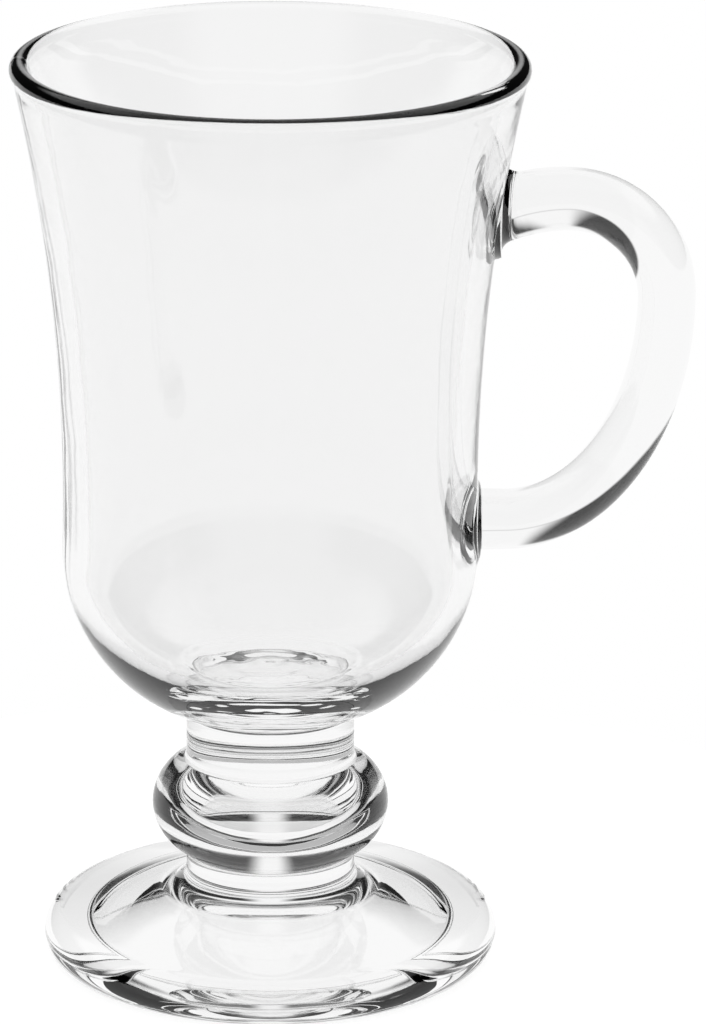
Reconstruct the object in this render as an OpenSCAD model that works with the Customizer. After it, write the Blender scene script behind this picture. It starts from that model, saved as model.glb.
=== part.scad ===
// Footed glass coffee mug: a flared bowl with a rolled rim, a solid loop handle,
// and a stem of neck, ball knop and flared collar on a round foot.
// Lengths are in millimetres. The origin is the middle of the resting face, +Z is up,
// and the handle lies along +X.

/* [Bowl] */
// Height of the bowl, from the top of the neck to the rim
bowl_h = 105.1; // [95:0.1:120]
// Outer radius at the waist, where the side wall is narrowest
waist_r = 32.45; // [29:0.05:36]
// Height of the waist above the centre of the arc that rounds the belly
waist_rise = 10.5; // [5:0.5:16]
// Radius of the long arc that flares the wall from the waist to the rim
flare_r = 300; // [240:10:420]
// Radius of the arc that rounds the belly down to the neck
belly_r = 28; // [25:0.5:30]
// Thickness of the wall at the waist
wall_t = 3.8; // [2.8:0.1:5]
// Drop of the inner waist below the outer one, which thins the wall towards the rim
inner_drop = 4; // [0:0.5:6]
// Radius of the arc that rounds the inside down to the floor
well_r = 19; // [16:0.5:24]
// Thickness of the solid glass from the top of the neck up to the inner floor
floor_t = 6; // [4:0.1:10]

/* [Rim] */
// Radius of the rolled bead round the rim
bead_r = 1.5; // [1.2:0.05:1.8]
// How far the bead stands out past the wall just under it
bead_stand = 0.55; // [0.2:0.05:0.8]

/* [Stem] */
// Outer radius of the necks above and below the knop
neck_r = 13.3; // [11:0.1:15]
// Height of the upper neck
upper_neck_h = 8.1; // [5:0.1:12]
// Height of the straight stretch of the lower neck
lower_neck_h = 2.4; // [1:0.1:5]
// Radius of the hollow curve that flares the lower neck onto the foot
collar_flare_r = 4.4; // [3:0.1:6]
// Outer radius of the ball knop
knop_r = 18.7; // [17:0.1:21]
// Height of the whole curve that the knop's side follows
knop_round_h = 17; // [14:0.5:20]
// Depth of that curve, from the knop's outside towards the axis
knop_round_d = 9.6; // [8:0.1:11]

/* [Foot] */
// Outer radius of the foot
foot_r = 36; // [32:0.5:40]
// Thickness of the foot's rounded edge
edge_t = 7.6; // [5:0.2:9]
// Height of the foot's top face where the collar stands on it
crown_h = 10.7; // [10:0.1:14]
// Radius of the shallow recess under the foot
recess_r = 28; // [22:0.5:28.5]
// Depth of the recess at its edge
recess_h = 1.1; // [0.5:0.1:2]
// Rise of the recess's hollow from its edge to the axis
dome_h = 6.2; // [1:0.1:7]
// Rounding at the top edge of the recess
recess_round = 0.8; // [0.2:0.1:1]

/* [Handle] */
// Reach of the handle from the mug's axis
handle_reach = 66; // [62:0.5:72]
// Drop of the upper arm's centre line below the rim, at its highest point
arm_drop = 22.2; // [16:0.2:30]
// Radius of the upper outer corner, on the centre line
corner_r = 15.5; // [12:0.5:18]
// Radius of the arch of the upper arm, on the centre line
arch_r = 30; // [24:1:45]
// Height of the loop, between the centre lines of its upper and lower arms
loop_h = 51.9; // [44:0.1:58]
// Length of the straight lower arm, out from the wall
low_run = 4.2; // [2:0.2:8]
// Thickness of the upper arm
arm_t = 10; // [8:0.1:11.5]
// Thickness of the outer side
side_t = 9; // [7:0.1:11]
// Thickness of the lower arm
low_t = 9.7; // [8:0.1:11.5]
// Width of the handle from front to back
handle_w = 11; // [8:0.1:13]
// Radius of the fillet at each root
root_r = 2.2; // [1.5:0.1:3]

/* [Smoothness] */
// Steps in each long arc of the outlines
arc_steps = 16; // [8:2:28]
// Sides of the handle's section
handle_sides = 24; // [16:2:32]

/* [Hidden] */
glass = [0.86, 0.90, 0.90, 0.55];
$fn = 96;

// Heights of the seams, from the table up
edge_r = edge_t / 2;
neck_foot_z = crown_h;
knop_low_z = neck_foot_z + collar_flare_r + lower_neck_h;
knop_hub_r = knop_r - knop_round_d;
knop_half_h = knop_round_h / 2 * sqrt(1 - pow((neck_r - knop_hub_r) / knop_round_d, 2));
knop_z = knop_low_z + knop_half_h;
knop_top_z = knop_z + knop_half_h;
stem_top_z = knop_top_z + upper_neck_h;
mug_h = stem_top_z + bowl_h;

// Centres of the arcs of the wall: each belly arc meets its flare arc at one tangent
belly_c_r = waist_r + flare_r - sqrt(pow(flare_r + belly_r, 2) - pow(waist_rise, 2));
belly_c_z = stem_top_z + sqrt(pow(belly_r, 2) - pow(neck_r - belly_c_r, 2));
waist_z = belly_c_z + waist_rise;
inner_waist_r = waist_r - wall_t;
inner_waist_z = waist_z - inner_drop;
floor_z = stem_top_z + floor_t;
well_c_z = floor_z + well_r;
well_rise = inner_waist_z - well_c_z;
well_c_r = inner_waist_r + flare_r - sqrt(pow(flare_r + well_r, 2) - pow(well_rise, 2));

// Radius of a flared wall at the height z, for a waist of radius r at the height w
function flare_at(z, r, w) = r + flare_r - sqrt(pow(flare_r, 2) - pow(z - w, 2));
// Outer radius of the bowl at the height z
function wall_at(z) =
    z > waist_z - waist_rise ? flare_at(z, waist_r, waist_z)
    : belly_c_r + sqrt(pow(belly_r, 2) - pow(z - belly_c_z, 2));
// Points of an arc of radius r about (x, z), from angle a to angle b
function arc(x, z, r, a, b, steps) =
    [for (i = [0:steps]) let (t = a + (b - a) * i / steps) [x + r * cos(t), z + r * sin(t)]];

// The rolled rim: the bead's inside runs on from the inner wall
bead_z = mug_h - bead_r;
bead_under_z = bead_z - bead_r;
bead_c_r = flare_at(bead_under_z, waist_r, waist_z) + bead_stand - bead_r;
lip_r = flare_at(bead_under_z, inner_waist_r, inner_waist_z);

// Outside of the bowl, from the neck up to the underside of the bead
neck_angle = -acos((neck_r - belly_c_r) / belly_r);
belly_end_angle = asin(waist_rise / (flare_r + belly_r));
belly_end_z = belly_c_z + belly_r * sin(belly_end_angle);
flare_step = (bead_under_z - belly_end_z) / arc_steps;
outer_line = concat(
    arc(belly_c_r, belly_c_z, belly_r, neck_angle, belly_end_angle, arc_steps),
    [for (i = [1:arc_steps]) let (z = belly_end_z + flare_step * i) [wall_at(z), z]]
);
// The bead, from its underside over the top to its inner side
bead_line = arc(bead_c_r, bead_z, bead_r, -45, 180, arc_steps);
// Inside of the bowl, from under the bead down to the axis
well_end_angle = asin(well_rise / (flare_r + well_r));
well_end_z = well_c_z + well_r * sin(well_end_angle);
inner_step = (bead_under_z - well_end_z) / arc_steps;
inner_line = concat(
    [for (i = [0:arc_steps - 1]) let (z = bead_under_z - inner_step * i)
        [flare_at(z, inner_waist_r, inner_waist_z), z]],
    arc(well_c_r, well_c_z, well_r, well_end_angle, -90, arc_steps),
    [[0, floor_z]]
);

// Centre line of the handle, from the upper root round to the lower root
arm_z = mug_h - arm_drop;
low_z = arm_z - loop_h;
side_x = handle_reach - side_t / 2;
corner_x = side_x - corner_r;
corner_z = arm_z - corner_r;
low_x = wall_at(low_z) + low_run;
// The ends of the sweep stop inside the wall, at this share of its thickness
end_share = 0.9;
arm_end_x = wall_at(arm_z) - wall_t * end_share;
low_end_x = wall_at(low_z) - wall_t * end_share;
arm_angle = asin((corner_x - arm_end_x) / arch_r);
// Centre line: arch for u from 0 to 1, corner to 2, outer side to 3, lower arm to 4
function path(u) =
    u < 1 ? let (t = arm_angle * (1 - u))
        [corner_x - arch_r * sin(t), arm_z - arch_r * (1 - cos(t))]
    : u < 2 ? let (t = 90 * (2 - u))
        [corner_x + corner_r * cos(t), corner_z + corner_r * sin(t)]
    : u < 3 ? let (t = 90 * (u - 2))
        [low_x + (side_x - low_x) * cos(t), corner_z - (corner_z - low_z) * sin(t)]
    : [low_x + (low_end_x - low_x) * (u - 3), low_z];
// Thickness of the bare section at u: arm, then side, then lower arm
function section_t(u) =
    u < 2 ? arm_t + (side_t - arm_t) * pow(u / 2, 2)
    : side_t + (low_t - side_t) * (u - 2) / 2;
// Direction of the centre line at u
function heading(u) =
    let (a = path(max(u - heading_step, 0)), b = path(min(u + heading_step, 4)))
    (b - a) / norm(b - a);
heading_step = 0.001;
// Point at the angle t of the oval section at u, grown by g, square to the centre line
function section_point(u, t, g) =
    let (p = path(u), h = heading(u), half_t = section_t(u) / 2 + g)
    [p[0] - h[1] * half_t * cos(t), (handle_w / 2 + g) * sin(t), p[1] + h[0] * half_t * cos(t)];
// Distance of a point from the outside of the wall, measured level
function from_wall(p) = norm([p[0], p[1]]) - wall_at(p[2]);
// Where, between a in the wall and b clear of it, one edge of the bare section stands at the distance d
function place_at(t, d, a, b, tries = 24) =
    let (m = (a + b) / 2)
    tries == 0 ? m
    : from_wall(section_point(m, t, 0)) < d ? place_at(t, d, m, b, tries - 1)
    : place_at(t, d, a, m, tries - 1);
section_turns = [for (j = [0:handle_sides - 1]) 360 * j / handle_sides];
// Rings of one root, from its end in the wall: a quarter-round fillet, then a run to a square ring
fillet_steps = 8;
blend_steps = 4;
function root_rings(a, b) = concat(
    [[for (t = section_turns) section_point(a, t, root_r)]],
    [for (i = [0:fillet_steps]) let (
        lean = 90 * (1 - i / fillet_steps),
        gap = root_r * (1 - sin(lean)),
        growth = root_r * (1 - cos(lean)))
        [for (t = section_turns) section_point(place_at(t, gap, a, b), t, growth)]],
    [for (i = [1:blend_steps])
        [for (t = section_turns) let (start = place_at(t, root_r, a, b))
            section_point(start + (b - start) * i / (blend_steps + 1), t, 0)]]
);
// The two square rings where the loop leaves its roots, and the rings of the loop between them
arm_clear = 0.62;
low_clear = 3.5;
loop_steps = 44;
loop_rings = [for (i = [0:loop_steps]) let (u = arm_clear + (low_clear - arm_clear) * i / loop_steps)
    [for (t = section_turns) section_point(u, t, 0)]];
low_rings = root_rings(4, low_clear);
handle_rings = concat(
    root_rings(0, arm_clear),
    loop_rings,
    [for (i = [len(low_rings) - 1:-1:0]) low_rings[i]]
);

module loop_sweep() {
    n = handle_sides;
    rings = len(handle_rings);
    side_faces = [for (i = [0:rings - 2], j = [0:n - 1]) let (k = (j + 1) % n)
        each [[i * n + j, i * n + k, (i + 1) * n + k], [i * n + j, (i + 1) * n + k, (i + 1) * n + j]]];
    start_face = [for (j = [0:n - 1]) n - 1 - j];
    end_face = [for (j = [0:n - 1]) (rings - 1) * n + j];
    polyhedron(
        points = [for (ring = handle_rings) each ring],
        faces = concat(side_faces, [start_face, end_face])
    );
}

// The bowl's outside as a plain solid, which the handle's roots are seated on
module bowl_form() {
    rotate_extrude()
        polygon(concat(outer_line, [[lip_r, bead_under_z], [0, bead_under_z], [0, stem_top_z]]));
}

module bowl() {
    color(glass)
        rotate_extrude()
            polygon(concat([[0, stem_top_z]], outer_line, bead_line, inner_line));
}

module handle() {
    color(glass)
        difference() {
            loop_sweep();
            bowl_form();
        }
}

module upper_neck() {
    color(glass)
        translate([0, 0, knop_top_z])
            cylinder(r = neck_r, h = upper_neck_h);
}

module knop() {
    reach = asin(knop_half_h / (knop_round_h / 2));
    color(glass)
        rotate_extrude()
            polygon(concat(
                [[0, knop_low_z]],
                [for (i = [0:2 * arc_steps]) let (t = reach * (i / arc_steps - 1))
                    [knop_hub_r + knop_round_d * cos(t), knop_z + knop_round_h / 2 * sin(t)]],
                [[0, knop_top_z]]
            ));
}

module lower_collar() {
    flare_c_r = neck_r + collar_flare_r;
    flare_c_z = neck_foot_z + collar_flare_r;
    color(glass)
        rotate_extrude()
            polygon(concat(
                [[0, neck_foot_z]],
                arc(flare_c_r, flare_c_z, collar_flare_r, 270, 180, arc_steps),
                [[neck_r, knop_low_z], [0, knop_low_z]]
            ));
}

module foot() {
    collar_r = neck_r + collar_flare_r;
    edge_c_r = foot_r - edge_r;
    // The hollow under the foot is a shallow dome
    dome_edge_r = recess_r - recess_round;
    dome_r = (pow(dome_edge_r, 2) + pow(dome_h, 2)) / (2 * dome_h);
    dome_angle = asin(dome_edge_r / dome_r);
    // The cone of the top face leaves the rounded edge at a tangent
    span = norm([edge_c_r - collar_r, crown_h - edge_r]);
    cone_angle = 180 - atan2(crown_h - edge_r, edge_c_r - collar_r) - acos(edge_r / span);
    color(glass)
        rotate_extrude()
            polygon(concat(
                arc(0, recess_h + dome_h - dome_r, dome_r, 90, 90 - dome_angle, arc_steps),
                arc(dome_edge_r, recess_h - recess_round, recess_round, 90, 0, arc_steps / 2),
                [[recess_r, 0]],
                arc(edge_c_r, edge_r, edge_r, -90, cone_angle, arc_steps),
                [[collar_r, crown_h], [0, crown_h]]
            ));
}

bowl();
handle();
upper_neck();
knop();
lower_collar();
foot();
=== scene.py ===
"""Looks of a footed glass coffee mug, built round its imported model."""

import math

import bmesh
import bpy
from bpy.props import FloatProperty, FloatVectorProperty, IntProperty, PointerProperty
from mathutils import Matrix, Vector


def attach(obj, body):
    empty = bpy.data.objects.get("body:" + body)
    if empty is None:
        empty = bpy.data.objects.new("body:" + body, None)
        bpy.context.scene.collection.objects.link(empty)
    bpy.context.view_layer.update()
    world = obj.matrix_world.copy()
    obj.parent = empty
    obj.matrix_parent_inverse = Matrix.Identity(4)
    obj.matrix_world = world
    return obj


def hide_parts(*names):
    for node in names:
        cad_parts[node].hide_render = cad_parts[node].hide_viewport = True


bl_info = {
    "name": "Footed Glass Coffee Mug",
    "version": (1, 0, 0),
    "blender": (4, 5, 0),
    "location": "View3D > Sidebar > Mug",
    "description": "Builds the looks of a footed glass coffee mug round its packed model",
    "category": "Add Mesh",
}

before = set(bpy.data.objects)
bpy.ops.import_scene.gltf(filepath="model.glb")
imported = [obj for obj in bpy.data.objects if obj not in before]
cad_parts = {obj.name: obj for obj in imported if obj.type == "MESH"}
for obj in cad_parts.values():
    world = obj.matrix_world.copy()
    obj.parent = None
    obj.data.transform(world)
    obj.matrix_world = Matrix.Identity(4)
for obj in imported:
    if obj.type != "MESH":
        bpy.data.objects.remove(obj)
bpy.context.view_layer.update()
TURN = 2 * math.pi

# Spacing of points along the outline, in metres
WALL_STEP = 0.001
INNER_STEP = 0.0012
BEAD_STEP = 0.0003
FINE_STEP = 0.0004
LIP_STEP = 0.00015
REST_STEP = 0.0006
CROWN_STEP = 0.0009
REST_FILLET = 0.00015
KNOP_STEPS = 24
SPIN_PARTS = 16
WELD = 1e-6

# Handle: its path runs from 0 to 4, with the roots up to these places
PATH_END = 4.0
UPPER_ROOT, LOWER_ROOT = 0.62, 3.5
RING_STEP = 0.0009
PROBE = 0.01
ROOT_SINK = 0.9
HALVINGS = 40
FILLET_STEPS = 10
BLEND_STEPS = 6
ROOT_TURNS = 64
ROOT_MARGIN = 0.0014
ROOT_RADIUS = 0.035
SKIN_DEPTH = 0.0005

# Bump of the glass: waviness, floor mark and mould seam, lengths in metres
WAVE_DEPTH = 0.0004
BROAD_SCALE, FINE_SCALE, FINE_SHARE = 70.0, 260.0, 0.12
MARK_EDGE, MARK_FOOT, MARK_HEAD = (0.0140, 0.0150), (0.0450, 0.0460), (0.0485, 0.0495)
RING_GAP = 0.0048
MOTTLE_SCALE, MOTTLE_SHARE = 210.0, 5.0
DRIFT, DRIFT_SCALE, DRIFT_DETAIL = 0.004, 85.0, 2.0
SEAM_WIDTH, SEAM_SIDE, SEAM_FOOT, SEAM_SHARE = (0.0002, 0.0014), (-0.030, -0.026), (0.055, 0.065), 0.6

# Studio: panels by degrees from the back, tones, and heights as the sine of the rise
PANELS = {"Beam": (2, 10, 1.0, 0.0), "Wings": (75, 115, 1.0, 0.0), "Front": (128, 155, 0.0, 1.0)}
FRONT_TONE, DARK_TONE, CEILING_TONE, TOP_TONE = 0.5, 0.02, 0.40, 0.65
HORIZON_RISE, CEILING_RISE, TOP_RISE = (-0.02, 0.03), (0.46, 0.58), (0.80, 0.92)
CLOTH_SHARE, FLOOR_GLOW = 0.25, 0.86
TABLE_SEGMENTS, TABLE_FADE = 96, (0.07, 0.118)
SENSOR_WIDTH = 36.0
CLIP_NEAR, CLIP_FAR = 0.05, 20.0


def length(name, description, default):
    """A size in metres that a user may change."""
    return FloatProperty(
        name=name, description=description, default=default, min=0.0, unit="LENGTH", precision=5
    )


class BowlSizes(bpy.types.PropertyGroup):
    """Sizes of the bowl and its rim."""

    height: length("Height", "Height of the bowl, from the top of the neck to the rim", 0.1051)
    waist_radius: length("Waist radius", "Outer radius where the side wall is narrowest", 0.03245)
    waist_rise: length("Waist rise", "Height of the waist above the centre of the belly's arc", 0.0105)
    flare_radius: length("Flare radius", "Radius of the long arc that flares the wall", 0.3)
    belly_radius: length("Belly radius", "Radius of the arc that rounds the belly", 0.028)
    wall: length("Wall", "Thickness of the wall at the waist", 0.0038)
    inner_drop: length("Inner drop", "Drop of the inner waist below the outer one", 0.004)
    well_radius: length("Well radius", "Radius of the arc that rounds the inside to the floor", 0.019)
    floor: length("Floor", "Thickness of the solid glass under the inner floor", 0.006)
    bead: length("Bead radius", "Radius of the rolled bead round the rim", 0.0015)
    bead_stand: length("Bead stand", "How far the bead stands out past the wall", 0.00055)


class StemSizes(bpy.types.PropertyGroup):
    """Sizes of the two necks and the ball knop."""

    neck_radius: length("Neck radius", "Outer radius of both necks", 0.0133)
    upper_neck: length("Upper neck", "Height of the upper neck", 0.0081)
    lower_neck: length("Lower neck", "Height of the straight stretch of the lower neck", 0.0024)
    flare_radius: length("Collar flare", "Radius of the hollow curve above the foot", 0.0044)
    knop_radius: length("Knop radius", "Outer radius of the ball knop", 0.0187)
    knop_round_height: length("Knop curve height", "Height of the curve of the knop's side", 0.017)
    knop_round_depth: length("Knop curve depth", "Depth of the curve of the knop's side", 0.0096)
    fillet: length("Fillet", "Rounding in the corners between neck, knop and bowl", 0.0008)


class FootSizes(bpy.types.PropertyGroup):
    """Sizes of the round foot."""

    radius: length("Radius", "Outer radius of the foot", 0.036)
    edge: length("Edge", "Thickness of the foot's rounded edge", 0.0076)
    crown: length("Crown", "Height of the foot's top face at the collar", 0.0107)
    recess_radius: length("Recess radius", "Radius of the shallow recess underneath", 0.028)
    recess: length("Recess depth", "Depth of the recess at its edge", 0.0011)
    dome: length("Dome", "Rise of the recess's hollow from its edge to the axis", 0.0062)
    recess_round: length("Recess rounding", "Rounding at the top edge of the recess", 0.0008)


class HandleSizes(bpy.types.PropertyGroup):
    """Sizes of the loop handle."""

    reach: length("Reach", "Reach of the handle from the mug's axis", 0.066)
    arm_drop: length("Arm drop", "Drop of the upper arm's centre line below the rim", 0.0222)
    corner_radius: length("Corner radius", "Radius of the upper outer corner", 0.0155)
    arch_radius: length("Arch radius", "Radius of the arch of the upper arm", 0.03)
    loop: length("Loop", "Height between the centre lines of the two arms", 0.0519)
    low_run: length("Lower run", "Length of the straight lower arm", 0.0042)
    arm: length("Arm thickness", "Thickness of the upper arm", 0.01)
    side: length("Side thickness", "Thickness of the outer side", 0.009)
    low: length("Lower thickness", "Thickness of the lower arm", 0.0097)
    width: length("Width", "Width of the handle from front to back", 0.011)
    root: length("Root fillet", "Radius of the fillet at each root", 0.0022)


class GlassLook(bpy.types.PropertyGroup):
    """Finish of the pressed glass."""

    tint: FloatVectorProperty(
        name="Tint", description="Colour of the clear glass", subtype="COLOR", size=3,
        min=0.0, max=1.0, default=(0.94, 0.94, 0.94),
    )
    ior: FloatProperty(
        name="IOR", description="Refraction of the glass", default=1.51, min=1.3, max=1.8,
    )
    wave: FloatProperty(
        name="Waviness", description="Strength of the soft unevenness that pressing leaves",
        default=0.2, min=0.0, max=1.0, subtype="FACTOR",
    )
    segments: IntProperty(
        name="Segments", description="Steps of each full turn", default=192, min=96, max=256,
    )


class StageLook(bpy.types.PropertyGroup):
    """Camera, floor and light."""

    camera_distance: length("Camera distance", "Level distance of the camera from the axis", 0.96965)
    camera_height: length("Camera height", "Height of the camera above the table", 0.37952)
    camera_pitch: FloatProperty(
        name="Camera pitch", description="How far the camera looks down", subtype="ANGLE",
        default=math.radians(17.542),
    )
    camera_turn: FloatProperty(
        name="Camera turn", description="Turn that sets the mug left of the middle", subtype="ANGLE",
        default=math.radians(0.729),
    )
    lens: FloatProperty(
        name="Lens", description="Focal length", subtype="DISTANCE_CAMERA", default=228.16,
    )
    table_radius: length("Table radius", "Radius of the round table top", 0.12)
    backdrop: FloatVectorProperty(
        name="Backdrop", description="Colour of the floor and backdrop", subtype="COLOR", size=3,
        min=0.0, max=1.0, default=(1.0, 1.0, 1.0),
    )


class MugSettings(bpy.types.PropertyGroup):
    """All the settings of the mug and its stage."""

    bowl: PointerProperty(type=BowlSizes)
    stem: PointerProperty(type=StemSizes)
    foot: PointerProperty(type=FootSizes)
    handle: PointerProperty(type=HandleSizes)
    glass: PointerProperty(type=GlassLook)
    stage: PointerProperty(type=StageLook)


def arc(x, z, radius, start, end, spacing):
    """Points of an arc about (x, z), about one spacing apart, from start to end in radians."""
    steps = max(4, round(abs(end - start) * radius / spacing))
    turns = [start + (end - start) * i / steps for i in range(steps + 1)]
    return [(x + radius * math.cos(t), z + radius * math.sin(t)) for t in turns]


def straight(a, b, spacing):
    """Points of a straight line from a to b, about one spacing apart."""
    steps = max(1, round(math.dist(a, b) / spacing))
    return [(a[0] + (b[0] - a[0]) * i / steps, a[1] + (b[1] - a[1]) * i / steps) for i in range(steps + 1)]


def rounded(before, after, radius, steps=8):
    """Joins two lines that meet at a corner, with a fillet in place of the corner."""
    corner = Vector(after[0])

    def cut(points):
        """The points beyond the fillet's reach, nearest first."""
        kept = list(points)
        while len(kept) > 2 and (Vector(kept[1]) - corner).length < reach:
            kept.pop(0)
        inner, outer = Vector(kept[0]), Vector(kept[1])
        kept[0] = tuple(corner + (outer - corner).normalized() * reach) if inner != outer else kept[0]
        return kept

    a = (Vector(before[-2]) - corner).normalized()
    b = (Vector(after[1]) - corner).normalized()
    half = math.acos(max(-1.0, min(1.0, a.dot(b)))) / 2
    reach = radius / math.tan(half)
    head = cut(before[::-1])[::-1]
    tail = cut(after)
    p, q = Vector(head[-1]), Vector(tail[0])
    centre = corner + (a + b).normalized() * (radius / math.sin(half))
    swing = (p - centre).angle_signed(q - centre)
    middle = []
    for i in range(1, steps):
        turned = Matrix.Rotation(-swing * i / steps, 2) @ (p - centre)
        middle.append(tuple(centre + turned))
    return head + middle + tail


class MugForm:
    """Heights, radii and lines that every piece of the mug shares."""

    def __init__(self, settings):
        bowl, stem, foot = settings.bowl, settings.stem, settings.foot
        self.bowl, self.stem, self.foot, self.handle = bowl, stem, foot, settings.handle
        self.knop_low = foot.crown + stem.flare_radius + stem.lower_neck
        self.knop_hub = stem.knop_radius - stem.knop_round_depth
        share = (stem.neck_radius - self.knop_hub) / stem.knop_round_depth
        self.knop_half = stem.knop_round_height / 2 * math.sqrt(1 - share**2)
        self.knop_middle = self.knop_low + self.knop_half
        self.knop_top = self.knop_middle + self.knop_half
        self.stem_top = self.knop_top + stem.upper_neck
        self.top = self.stem_top + bowl.height
        joined = bowl.flare_radius + bowl.belly_radius
        self.belly_x = bowl.waist_radius + bowl.flare_radius - math.sqrt(joined**2 - bowl.waist_rise**2)
        self.belly_z = self.stem_top + math.sqrt(
            bowl.belly_radius**2 - (stem.neck_radius - self.belly_x) ** 2
        )
        self.waist_z = self.belly_z + bowl.waist_rise
        self.belly_end = math.asin(bowl.waist_rise / joined)
        self.belly_end_z = self.belly_z + bowl.belly_radius * math.sin(self.belly_end)
        self.inner_waist = bowl.waist_radius - bowl.wall
        self.inner_waist_z = self.waist_z - bowl.inner_drop
        self.bead_z = self.top - bowl.bead
        self.under_z = self.bead_z - bowl.bead
        self.bead_x = self.flare(self.under_z, bowl.waist_radius, self.waist_z) + bowl.bead_stand - bowl.bead

    def flare(self, z, radius, waist):
        """Radius of a flared wall at the height z."""
        reach = self.bowl.flare_radius
        return radius + reach - math.sqrt(reach**2 - (z - waist) ** 2)

    def wall(self, z):
        """Outer radius of the bowl at the height z."""
        if z > self.belly_end_z:
            return self.flare(z, self.bowl.waist_radius, self.waist_z)
        return self.belly_x + math.sqrt(self.bowl.belly_radius**2 - (z - self.belly_z) ** 2)

    def outside(self):
        """Bowl from the neck up to the underside of the bead."""
        start = -math.acos((self.stem.neck_radius - self.belly_x) / self.bowl.belly_radius)
        belly = arc(self.belly_x, self.belly_z, self.bowl.belly_radius, start, self.belly_end, WALL_STEP)
        steps = round((self.under_z - self.belly_end_z) / WALL_STEP)
        rise = (self.under_z - self.belly_end_z) / steps
        flared = [self.belly_end_z + rise * i for i in range(1, steps + 1)]
        return belly + [(self.wall(z), z) for z in flared]

    def rim(self):
        """The rolled bead, over the top."""
        return arc(self.bead_x, self.bead_z, self.bowl.bead, -math.pi / 4, math.pi, BEAD_STEP)

    def inside(self):
        """Bowl from under the bead down to the axis."""
        bowl = self.bowl
        low = self.stem_top + bowl.floor
        middle = low + bowl.well_radius
        joined = bowl.flare_radius + bowl.well_radius
        rise = self.inner_waist_z - middle
        centre = self.inner_waist + bowl.flare_radius - math.sqrt(joined**2 - rise**2)
        end = math.asin(rise / joined)
        end_z = middle + bowl.well_radius * math.sin(end)
        steps = round((self.under_z - end_z) / INNER_STEP)
        drop = (self.under_z - end_z) / steps
        heights = [self.under_z - drop * i for i in range(steps)]
        wall = [(self.flare(z, self.inner_waist, self.inner_waist_z), z) for z in heights]
        well = arc(centre, middle, bowl.well_radius, end, -math.pi / 2, WALL_STEP)
        return wall + well + straight(well[-1], (0.0, low), WALL_STEP)[1:]

    def under_foot(self):
        """Foot from the axis underneath, over the resting ring, to the collar."""
        foot, stem = self.foot, self.stem
        roll = foot.edge / 2
        middle = foot.radius - roll
        collar = stem.neck_radius + stem.flare_radius
        span = math.hypot(middle - collar, foot.crown - roll)
        slope = math.pi - math.atan2(foot.crown - roll, middle - collar) - math.acos(roll / span)
        inner = foot.recess_radius - foot.recess_round
        curve = (inner**2 + foot.dome**2) / (2 * foot.dome)
        reach = math.asin(inner / curve)
        hub = foot.recess + foot.dome - curve
        ceiling = arc(0.0, hub, curve, math.pi / 2, math.pi / 2 - reach, INNER_STEP)
        ceiling[0] = (0.0, ceiling[0][1])
        lip = arc(inner, foot.recess - foot.recess_round, foot.recess_round, math.pi / 2, 0, LIP_STEP)
        drop = [(foot.recess_radius, foot.recess - foot.recess_round), (foot.recess_radius, 0.0)]
        rest = straight((foot.recess_radius, 0.0), (middle, 0.0), REST_STEP)
        line = ceiling + lip[1:]
        line = rounded(line + drop[1:], rest, REST_FILLET, 4)
        edge = arc(middle, roll, roll, -math.pi / 2, slope, FINE_STEP)
        return line + edge[1:] + straight(edge[-1], (collar, foot.crown), CROWN_STEP)[1:]

    def stem_lines(self):
        """Collar, knop and upper neck, each from its bottom to its top."""
        stem, crown = self.stem, self.foot.crown
        flare = stem.flare_radius
        curve = arc(stem.neck_radius + flare, crown + flare, flare, -math.pi / 2, -math.pi, FINE_STEP)
        collar = curve + straight(curve[-1], (stem.neck_radius, self.knop_low), FINE_STEP)[1:]
        reach = math.asin(self.knop_half / (stem.knop_round_height / 2))
        turns = [reach * (i / KNOP_STEPS - 1) for i in range(2 * KNOP_STEPS + 1)]
        knop = [
            (
                self.knop_hub + stem.knop_round_depth * math.cos(t),
                self.knop_middle + stem.knop_round_height / 2 * math.sin(t),
            )
            for t in turns
        ]
        neck = straight((stem.neck_radius, self.knop_top), (stem.neck_radius, self.stem_top), FINE_STEP)
        return collar, knop, neck

    def profile(self):
        """The whole outline that is spun, from under the foot to the floor of the bowl."""
        fillet = self.stem.fillet
        collar, knop, neck = self.stem_lines()
        line = self.under_foot() + collar[1:]
        line = rounded(line, knop, fillet)
        line = rounded(line, neck, fillet)
        line = rounded(line, self.outside(), fillet * 1.4)
        return line + self.rim()[1:] + self.inside()[1:]

    def path(self, u):
        """Centre line of the handle, from u = 0 inside the upper root to u = 4 inside the lower one."""
        handle = self.handle
        arm_z = self.top - handle.arm_drop
        low_z = arm_z - handle.loop
        side_x = handle.reach - handle.side / 2
        corner_x, corner_z = side_x - handle.corner_radius, arm_z - handle.corner_radius
        low_x = self.wall(low_z) + handle.low_run
        inset = self.bowl.wall * ROOT_SINK
        swing = math.asin((corner_x - self.wall(arm_z) + inset) / handle.arch_radius)
        if u < 1:
            t = swing * (1 - u)
            return (
                corner_x - handle.arch_radius * math.sin(t),
                arm_z - handle.arch_radius * (1 - math.cos(t)),
            )
        if u < 2:
            t = math.pi / 2 * (2 - u)
            return (
                corner_x + handle.corner_radius * math.cos(t),
                corner_z + handle.corner_radius * math.sin(t),
            )
        if u < 3:
            t = math.pi / 2 * (u - 2)
            return (
                low_x + (side_x - low_x) * math.cos(t),
                corner_z - (corner_z - low_z) * math.sin(t),
            )
        return low_x + (self.wall(low_z) - inset - low_x) * (u - 3), low_z

    def thickness(self, u):
        """Thickness of the handle along its centre line."""
        handle = self.handle
        if u < 2:
            return handle.arm + (handle.side - handle.arm) * (u / 2) ** 2
        return handle.side + (handle.low - handle.side) * (u - 2) / 2

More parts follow.
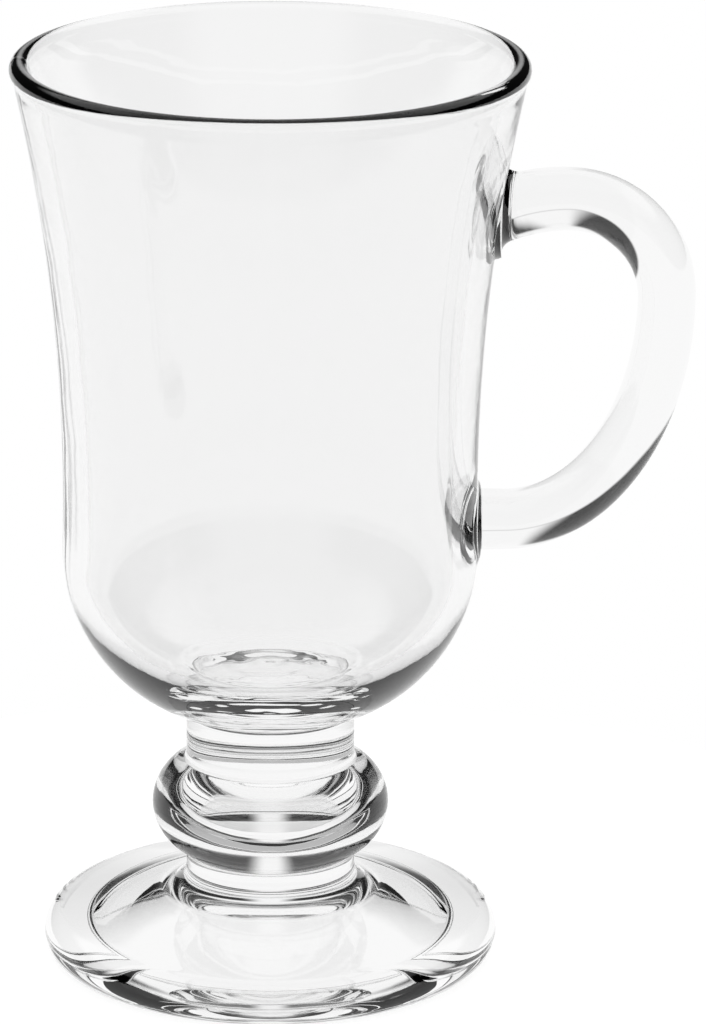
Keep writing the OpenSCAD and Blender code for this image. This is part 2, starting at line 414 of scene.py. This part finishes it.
    def section(self, u, turn, growth=0.0):
        """Point at one turn of the oval section at u, grown square to the centre line."""
        x, z = self.path(u)
        step = 1e-4
        ahead, behind = self.path(min(u + step, PATH_END)), self.path(max(u - step, 0.0))
        heading = (Vector(ahead) - Vector(behind)).normalized()
        out = (self.thickness(u) / 2 + growth) * math.cos(turn)
        side = (self.handle.width / 2 + growth) * math.sin(turn)
        return Vector((x - heading.y * out, side, z + heading.x * out))

    def clearance(self, point):
        """Distance of a point from the outside of the wall, measured level."""
        return math.hypot(point.x, point.y) - self.wall(point.z)


def root_place(form, turn, gap, inner, outer):
    """Where along the centre line the bare section, at one turn, clears the wall by gap."""
    for _ in range(HALVINGS):
        middle = (inner + outer) / 2
        if form.clearance(form.section(middle, turn)) < gap:
            inner = middle
        else:
            outer = middle
    return (inner + outer) / 2


def root_rings(form, turns, inner, outer):
    """Rings of one root, from the wall outwards: a quarter-round fillet, then a run to a square ring."""
    radius = form.handle.root
    rings = []
    for step in range(FILLET_STEPS, -1, -1):
        lean = math.pi / 2 * step / FILLET_STEPS
        gap, growth = radius * (1 - math.sin(lean)), radius * (1 - math.cos(lean))
        ring = []
        for t in turns:
            point = form.section(root_place(form, t, gap, inner, outer), t, growth)
            if step == FILLET_STEPS:
                wall = form.wall(point.z) / math.hypot(point.x, point.y)
                point = Vector((point.x * wall, point.y * wall, point.z))
            ring.append(point)
        rings.append(ring)
    starts = [root_place(form, t, radius, inner, outer) for t in turns]
    for step in range(1, BLEND_STEPS):
        share = step / BLEND_STEPS
        rings.append([form.section(s + (outer - s) * share, t) for s, t in zip(starts, turns)])
    return rings


def sweep_handle(bm, form, sides):
    """Sweeps the handle by extruding a circle of edges from root to root. Returns its two end loops."""
    turns = [TURN * i / sides for i in range(sides)]
    rings = root_rings(form, turns, 0.0, UPPER_ROOT)
    u = UPPER_ROOT
    while u < LOWER_ROOT:
        rings.append([form.section(u, t) for t in turns])
        here, ahead = Vector(form.path(u)), Vector(form.path(u + PROBE))
        u += PROBE * RING_STEP / (ahead - here).length
    rings += root_rings(form, turns, PATH_END, LOWER_ROOT)[::-1]
    verts = bmesh.ops.create_circle(bm, segments=sides, radius=form.handle.width)["verts"]
    first = list({edge for vert in verts for edge in vert.link_edges})
    for vert, place in zip(verts, rings[0]):
        vert.co = place
    edges = first
    for ring in rings[1:]:
        grown = bmesh.ops.extrude_edge_only(bm, edges=edges)["geom"]
        fresh = {g for g in grown if isinstance(g, bmesh.types.BMVert)}
        edges = [g for g in grown if isinstance(g, bmesh.types.BMEdge) and fresh.issuperset(g.verts)]
        verts = [
            next(other for other in (e.other_vert(vert) for e in vert.link_edges) if other in fresh)
            for vert in verts
        ]
        for vert, place in zip(verts, ring):
            vert.co = place
    for face in bm.faces:
        face[bm.faces.layers.int["handle"]] = 1
    return first, edges


def seat_root(bm, form, loop, rows, half_columns):
    """Opens the wall round one root and bridges it to the handle's end loop."""
    low, high = rows
    hole = []
    for face in bm.faces:
        if face[bm.faces.layers.int["handle"]] or len(face.verts) != 4:
            continue
        middle = face.calc_center_median()
        radius = math.hypot(middle.x, middle.y)
        turn = math.atan2(middle.y, middle.x)
        if low < middle.z < high and abs(turn) < half_columns and radius > form.wall(middle.z) - SKIN_DEPTH:
            hole.append(face)
    border = {e for f in hole for e in f.edges if sum(g in hole for g in e.link_faces) == 1}
    bmesh.ops.delete(bm, geom=hole, context="FACES")
    made = bmesh.ops.bridge_loops(bm, edges=list(border) + loop)["faces"]
    ends = set(border) | set(loop)
    across = [e for e in {e for f in made for e in f.edges} if e not in ends]
    cut = bmesh.ops.subdivide_edges(bm, edges=across, cuts=3, use_grid_fill=True)
    for item in cut["geom_inner"]:
        if isinstance(item, bmesh.types.BMVert):
            wall = form.wall(item.co.z) / math.hypot(item.co.x, item.co.y)
            item.co.x, item.co.y = item.co.x * wall, item.co.y * wall


def whole_skin(settings):
    """One closed skin of the whole mug, with the handle's faces marked apart from the rest."""
    form = MugForm(settings)
    segments = settings.glass.segments
    heights = [z for x, z in form.outside()]
    cell = TURN / segments
    roots = []
    turns = [TURN * i / ROOT_TURNS for i in range(ROOT_TURNS)]
    for inner, outer in ((0.0, UPPER_ROOT), (PATH_END, LOWER_ROOT)):
        ring = root_rings(form, turns, inner, outer)[0]
        low, high = min(p.z for p in ring) - ROOT_MARGIN, max(p.z for p in ring) + ROOT_MARGIN
        first = max(i for i, z in enumerate(heights) if z < low)
        last = min(i for i, z in enumerate(heights) if z > high)
        last += (last - first) % 2
        reach = max(abs(math.atan2(p.y, p.x)) for p in ring) + ROOT_MARGIN / ROOT_RADIUS
        roots.append((first, last, 2 * math.ceil(reach / cell)))
    half = max((last - first) + columns for first, last, columns in roots)

    bm = bmesh.new()
    bm.faces.layers.int.new("handle")
    loops = sweep_handle(bm, form, 2 * half)
    line = [bm.verts.new((x, 0.0, z)) for x, z in form.profile()]
    edges = [bm.edges.new(pair) for pair in zip(line, line[1:])]
    wedge = set(bm.faces)
    about = {"cent": (0, 0, 0), "axis": (0, 0, 1)}
    steps = segments // SPIN_PARTS
    bmesh.ops.spin(bm, geom=line + edges, angle=TURN / SPIN_PARTS, steps=steps, use_merge=False, **about)
    wedge = [face for face in bm.faces if face not in wedge]
    bmesh.ops.spin(bm, geom=wedge, angle=TURN, steps=SPIN_PARTS, use_duplicate=True, use_merge=True, **about)
    bmesh.ops.remove_doubles(bm, verts=bm.verts, dist=WELD)
    for (first, last, _), loop in zip(roots, loops):
        columns = half - (last - first)
        seat_root(bm, form, loop, (heights[first], heights[last]), columns / 2 * cell)
    bmesh.ops.recalc_face_normals(bm, faces=bm.faces)
    return form, bm


def share_normals(bm):
    """Keeps one smooth normal for each point, so that pieces shade as one glass across their seams."""
    shared = bm.verts.layers.float_vector.new("shared_normal")
    for vert in bm.verts:
        total = Vector()
        for face in vert.link_faces:
            total += face.normal * face.calc_area()
        vert[shared] = total.normalized()


SKIN = {}


def skin():
    """The skin of the whole mug, made once and shared by the pieces' operators."""
    if not SKIN:
        form, bm = whole_skin(bpy.context.scene.mug_settings)
        share_normals(bm)
        SKIN["form"], SKIN["mesh"] = form, bm
    return SKIN["form"], SKIN["mesh"]


def cut_piece(name, node, belongs):
    """Cuts one piece out of the skin, and sets it in place of its node."""
    form, whole = skin()
    bm = whole.copy()
    handle = bm.faces.layers.int["handle"]
    away = [f for f in bm.faces if not belongs(form, f.calc_center_median(), f[handle] == 1)]
    bmesh.ops.delete(bm, geom=away, context="FACES")
    for face in bm.faces:
        face.smooth = True
    shared = bm.verts.layers.float_vector["shared_normal"]
    normals = [vert[shared].copy() for vert in bm.verts]
    mesh = bpy.data.meshes.new(name)
    bm.to_mesh(mesh)
    bm.free()
    mesh.normals_split_custom_set_from_vertices(normals)
    for spent in ("shared_normal", "handle"):
        mesh.attributes.remove(mesh.attributes[spent])
    piece = bpy.data.objects.new(name, mesh)
    bpy.context.scene.collection.objects.link(piece)
    mesh.materials.append(clear_glass())
    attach(piece, "root")
    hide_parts(node)
    return piece


class Wiring:
    """Adds nodes to one tree and joins them up."""

    def __init__(self, tree):
        self.nodes, self.link = tree.nodes, tree.links.new

    def add(self, kind):
        """A new shader node."""
        return self.nodes.new("ShaderNode" + kind)

    def put(self, node, sockets):
        """Gives each socket of a node its number, or links another socket to it."""
        for name, value in sockets.items():
            if isinstance(value, bpy.types.NodeSocket):
                self.link(value, node.inputs[name])
            else:
                node.inputs[name].default_value = value
        return node

    def ramp(self, value, low, high, start=0.0, end=1.0):
        """A smooth step of value from low to high, running from start to end."""
        node = self.add("MapRange")
        node.interpolation_type = "SMOOTHSTEP"
        ends = {"From Min": low, "From Max": high, "To Min": start, "To Max": end}
        return self.put(node, {"Value": value, **ends}).outputs["Result"]

    def sums(self, operation, *values):
        """One sum of sockets or numbers."""
        node = self.add("Math")
        node.operation = operation
        return self.put(node, dict(enumerate(values))).outputs["Value"]

    def mixed(self, factor, first, second):
        """A number between two sockets or numbers."""
        node = self.add("Mix")
        return self.put(node, {"Factor": factor, "A": first, "B": second}).outputs["Result"]

    def noise(self, place, scale, detail=1.0):
        """Soft noise of a scale, by place."""
        node = self.add("TexNoise")
        return self.put(node, {"Vector": place, "Scale": scale, "Detail": detail}).outputs["Fac"]

    def split(self, vector):
        """The three parts of a vector, by their letters."""
        return self.put(self.add("SeparateXYZ"), {"Vector": vector}).outputs

    def far(self, vector):
        """Length of a vector."""
        node = self.add("VectorMath")
        node.operation = "LENGTH"
        return self.put(node, {0: vector}).outputs["Value"]


def floor_mark(wire, place, apart):
    """Rings and mottle in the middle of the bowl's floor."""
    level = wire.put(wire.add("CombineXYZ"), {"X": apart["X"], "Y": apart["Y"]})
    away = wire.far(level.outputs["Vector"])
    inside = wire.sums("MULTIPLY", wire.ramp(away, *MARK_EDGE, 1.0, 0.0), wire.ramp(apart["Z"], *MARK_FOOT))
    inside = wire.sums("MULTIPLY", inside, wire.ramp(apart["Z"], *MARK_HEAD, 1.0, 0.0))
    rings = wire.sums("SINE", wire.sums("MULTIPLY", away, TURN / RING_GAP))
    mottle = wire.sums("MULTIPLY", wire.noise(place, MOTTLE_SCALE), MOTTLE_SHARE)
    return wire.sums("MULTIPLY", wire.sums("ADD", rings, mottle), inside)


def mould_seam(wire, place, apart):
    """A faint wandering seam down the wall opposite the handle."""
    drift = wire.noise(place, DRIFT_SCALE, DRIFT_DETAIL)
    wander = wire.sums("MULTIPLY", wire.sums("SUBTRACT", drift, 0.5), DRIFT)
    off = wire.sums("ABSOLUTE", wire.sums("ADD", apart["Y"], wander))
    side = wire.ramp(apart["X"], *SEAM_SIDE, 1.0, 0.0)
    seam = wire.sums("MULTIPLY", wire.ramp(off, *SEAM_WIDTH, 1.0, 0.0), side)
    return wire.sums("MULTIPLY", seam, wire.ramp(apart["Z"], *SEAM_FOOT, 0.0, SEAM_SHARE))


def waviness_group():
    """Node group: the soft unevenness of pressed glass, the floor's mark and the mould seam."""
    name = "Pressed glass waviness"
    if name in bpy.data.node_groups:
        return bpy.data.node_groups[name]
    group = bpy.data.node_groups.new(name, "ShaderNodeTree")
    group.interface.new_socket("Strength", in_out="INPUT", socket_type="NodeSocketFloat")
    group.interface.new_socket("Normal", in_out="OUTPUT", socket_type="NodeSocketVector")
    wire = Wiring(group)
    given, result = wire.nodes.new("NodeGroupInput"), wire.nodes.new("NodeGroupOutput")
    place = wire.add("TexCoord").outputs["Object"]
    apart = wire.split(place)
    fine, broad = wire.noise(place, FINE_SCALE), wire.noise(place, BROAD_SCALE)
    wave = wire.sums("MULTIPLY_ADD", fine, FINE_SHARE, broad)
    marks = wire.sums("ADD", floor_mark(wire, place, apart), mould_seam(wire, place, apart))
    height = wire.sums("ADD", wave, marks)
    sockets = {"Distance": WAVE_DEPTH, "Height": height, "Strength": given.outputs["Strength"]}
    bump = wire.put(wire.add("Bump"), sockets)
    wire.link(bump.outputs["Normal"], result.inputs["Normal"])
    return group


def clear_glass():
    """Clear pressed glass."""
    name = "Clear pressed glass"
    if name in bpy.data.materials:
        return bpy.data.materials[name]
    look = bpy.context.scene.mug_settings.glass
    material = bpy.data.materials.new(name)
    material.use_nodes = True
    wire = Wiring(material.node_tree)
    shader = wire.nodes["Principled BSDF"]
    shader.inputs["Base Color"].default_value = (*look.tint, 1.0)
    shader.inputs["Roughness"].default_value = 0.0
    shader.inputs["Metallic"].default_value = 0.0
    shader.inputs["IOR"].default_value = look.ior
    shader.inputs["Transmission Weight"].default_value = 1.0
    wave = wire.add("Group")
    wave.node_tree = waviness_group()
    wave.inputs["Strength"].default_value = look.wave
    wire.link(wave.outputs["Normal"], shader.inputs["Normal"])
    return material


def studio_group():
    """Node group: where the panels above the horizon stand round the mug, by direction from it."""
    name = "Studio panels"
    if name in bpy.data.node_groups:
        return bpy.data.node_groups[name]
    group = bpy.data.node_groups.new(name, "ShaderNodeTree")
    group.interface.new_socket("Direction", in_out="INPUT", socket_type="NodeSocketVector")
    wire = Wiring(group)
    given, result = wire.nodes.new("NodeGroupInput"), wire.nodes.new("NodeGroupOutput")
    apart = wire.split(given.outputs["Direction"])
    turn = wire.sums("ABSOLUTE", wire.sums("ARCTAN2", apart["X"], apart["Y"]))
    for panel, (low, high, start, end) in PANELS.items():
        group.interface.new_socket(panel, in_out="OUTPUT", socket_type="NodeSocketFloat")
        wire.link(wire.ramp(turn, math.radians(low), math.radians(high), start, end), result.inputs[panel])
    return group


def light_studio(stage):
    """World: white to the camera, and to the glass white below the horizon and panels above it."""
    world = bpy.data.worlds.new("White studio")
    bpy.context.scene.world = world
    world.use_nodes = True
    wire = Wiring(world.node_tree)
    wire.nodes.clear()
    out, light, panels = wire.add("OutputWorld"), wire.add("Background"), wire.add("Group")
    panels.node_tree = studio_group()
    direction = wire.add("TexCoord").outputs["Generated"]
    path = wire.add("LightPath").outputs
    wire.link(direction, panels.inputs["Direction"])
    rise = wire.split(direction)["Z"]
    front = wire.mixed(panels.outputs["Front"], 0.0, FRONT_TONE)
    band = wire.mixed(wire.sums("MAXIMUM", panels.outputs["Beam"], front), DARK_TONE, 1.0)
    ceiling = wire.mixed(panels.outputs["Wings"], CEILING_TONE, 1.0)
    ceiling = wire.mixed(wire.ramp(rise, *TOP_RISE), ceiling, TOP_TONE)
    above = wire.ramp(rise, *HORIZON_RISE)
    tone = wire.mixed(above, 0.0, band)
    tone = wire.mixed(wire.ramp(rise, *CEILING_RISE), tone, ceiling)
    tone = wire.mixed(above, 1.0, tone)
    plain = wire.sums("MAXIMUM", path["Is Camera Ray"], path["Is Diffuse Ray"])
    wire.put(light, {"Color": (*stage.backdrop, 1.0), "Strength": wire.mixed(plain, tone, 1.0)})
    wire.link(light.outputs["Background"], out.inputs["Surface"])


def lay_floor(stage):
    """A round pale table top that shows white, keeps the mug's shadow, and is plain white in the glass."""
    bm = bmesh.new()
    bmesh.ops.create_circle(bm, cap_ends=True, segments=TABLE_SEGMENTS, radius=stage.table_radius)
    mesh = bpy.data.meshes.new("Floor")
    bm.to_mesh(mesh)
    bm.free()
    floor = bpy.data.objects.new("Floor", mesh)
    bpy.context.scene.collection.objects.link(floor)
    material = bpy.data.materials.new("Pale floor")
    material.use_nodes = True
    wire = Wiring(material.node_tree)
    wire.nodes.clear()
    out = wire.add("OutputMaterial")
    seen = wire.add("LightPath").outputs["Is Camera Ray"]
    cloth = wire.put(wire.add("BsdfDiffuse"), {"Color": (*(c * CLOTH_SHARE for c in stage.backdrop), 1.0)})
    glow = wire.put(wire.add("Emission"), {"Strength": FLOOR_GLOW})
    white = wire.put(wire.add("Emission"), {"Strength": 1.0})
    both = wire.put(wire.add("AddShader"), {0: cloth.outputs["BSDF"], 1: glow.outputs["Emission"]})
    reach = wire.far(wire.add("TexCoord").outputs["Object"])
    clear = wire.add("BsdfTransparent")
    fade = {"Fac": wire.ramp(reach, *TABLE_FADE), 1: white.outputs["Emission"], 2: clear.outputs["BSDF"]}
    faded = wire.put(wire.add("MixShader"), fade)
    choice = {"Fac": seen, 1: faded.outputs["Shader"], 2: both.outputs["Shader"]}
    shown = wire.put(wire.add("MixShader"), choice)
    wire.link(shown.outputs["Shader"], out.inputs["Surface"])
    mesh.materials.append(material)


def set_camera(stage):
    """Camera at the photograph's height, distance and pitch, turned to set the mug left of the middle."""
    data = bpy.data.cameras.new("Camera")
    data.sensor_fit = "AUTO"
    data.sensor_width = SENSOR_WIDTH
    data.lens = stage.lens
    data.clip_start, data.clip_end = CLIP_NEAR, CLIP_FAR
    camera = bpy.data.objects.new("Camera", data)
    bpy.context.scene.collection.objects.link(camera)
    stand = Matrix.Translation((0.0, -stage.camera_distance, stage.camera_height))
    tilt = Matrix.Rotation(math.pi / 2 - stage.camera_pitch, 4, "X")
    camera.matrix_world = stand @ tilt @ Matrix.Rotation(-stage.camera_turn, 4, "Y")
    bpy.context.scene.camera = camera


class MUG_OT_stage(bpy.types.Operator):
    """Set up the camera, the floor and the light"""

    bl_idname = "mug.stage"
    bl_label = "Stage"

    def execute(self, context):
        stage = context.scene.mug_settings.stage
        set_camera(stage)
        light_studio(stage)
        lay_floor(stage)
        context.scene.view_settings.view_transform = "Standard"
        return {"FINISHED"}


class MUG_OT_foot(bpy.types.Operator):
    """Make the round foot with its rounded edge and the recess underneath"""

    bl_idname = "mug.foot"
    bl_label = "Foot"

    def execute(self, context):
        cut_piece("foot_glass", "foot", lambda form, at, handle: at.z < form.foot.crown)
        return {"FINISHED"}


class MUG_OT_stem(bpy.types.Operator):
    """Make the flared collar, the ball knop and the upper neck"""

    bl_idname = "mug.stem"
    bl_label = "Stem"

    def execute(self, context):
        cut_piece(
            "lower_collar_glass", "lower_collar",
            lambda form, at, handle: form.foot.crown < at.z < form.knop_low,
        )
        cut_piece("knop_glass", "knop", lambda form, at, handle: form.knop_low < at.z < form.knop_top)
        cut_piece(
            "upper_neck_glass", "upper_neck",
            lambda form, at, handle: form.knop_top < at.z < form.stem_top,
        )
        return {"FINISHED"}


class MUG_OT_bowl(bpy.types.Operator):
    """Make the flared bowl with its rolled rim and rounded well"""

    bl_idname = "mug.bowl"
    bl_label = "Bowl"

    def execute(self, context):
        cut_piece("bowl_glass", "bowl", lambda form, at, handle: at.z > form.stem_top and not handle)
        return {"FINISHED"}


class MUG_OT_handle(bpy.types.Operator):
    """Make the loop handle, swept from root to root and blended into the wall"""

    bl_idname = "mug.handle"
    bl_label = "Handle"

    def execute(self, context):
        cut_piece("handle_glass", "handle", lambda form, at, handle: handle)
        return {"FINISHED"}


class MUG_PT_panel(bpy.types.Panel):
    """The mug's settings and the operators that build it"""

    bl_idname = "MUG_PT_panel"
    bl_label = "Footed Glass Mug"
    bl_space_type = "VIEW_3D"
    bl_region_type = "UI"
    bl_category = "Mug"

    def draw(self, context):
        settings = context.scene.mug_settings
        for group in ("bowl", "stem", "foot", "handle", "glass", "stage"):
            box = self.layout.box()
            box.label(text=group.capitalize())
            values = getattr(settings, group)
            for name in values.__annotations__:
                box.prop(values, name)
        for operator in BUILD_ORDER:
            self.layout.operator(operator.bl_idname)


GROUPS = (BowlSizes, StemSizes, FootSizes, HandleSizes, GlassLook, StageLook, MugSettings)
BUILD_ORDER = (MUG_OT_stage, MUG_OT_foot, MUG_OT_stem, MUG_OT_bowl, MUG_OT_handle)
CLASSES = GROUPS + BUILD_ORDER + (MUG_PT_panel,)


def register():
    for each in CLASSES:
        bpy.utils.register_class(each)
    bpy.types.Scene.mug_settings = PointerProperty(type=MugSettings)


def unregister():
    del bpy.types.Scene.mug_settings
    for each in reversed(CLASSES):
        bpy.utils.unregister_class(each)


def main():
    register()
    for operator in BUILD_ORDER:
        group, name = operator.bl_idname.split(".")
        getattr(getattr(bpy.ops, group), name)()


if __name__ == "__main__":
    main()
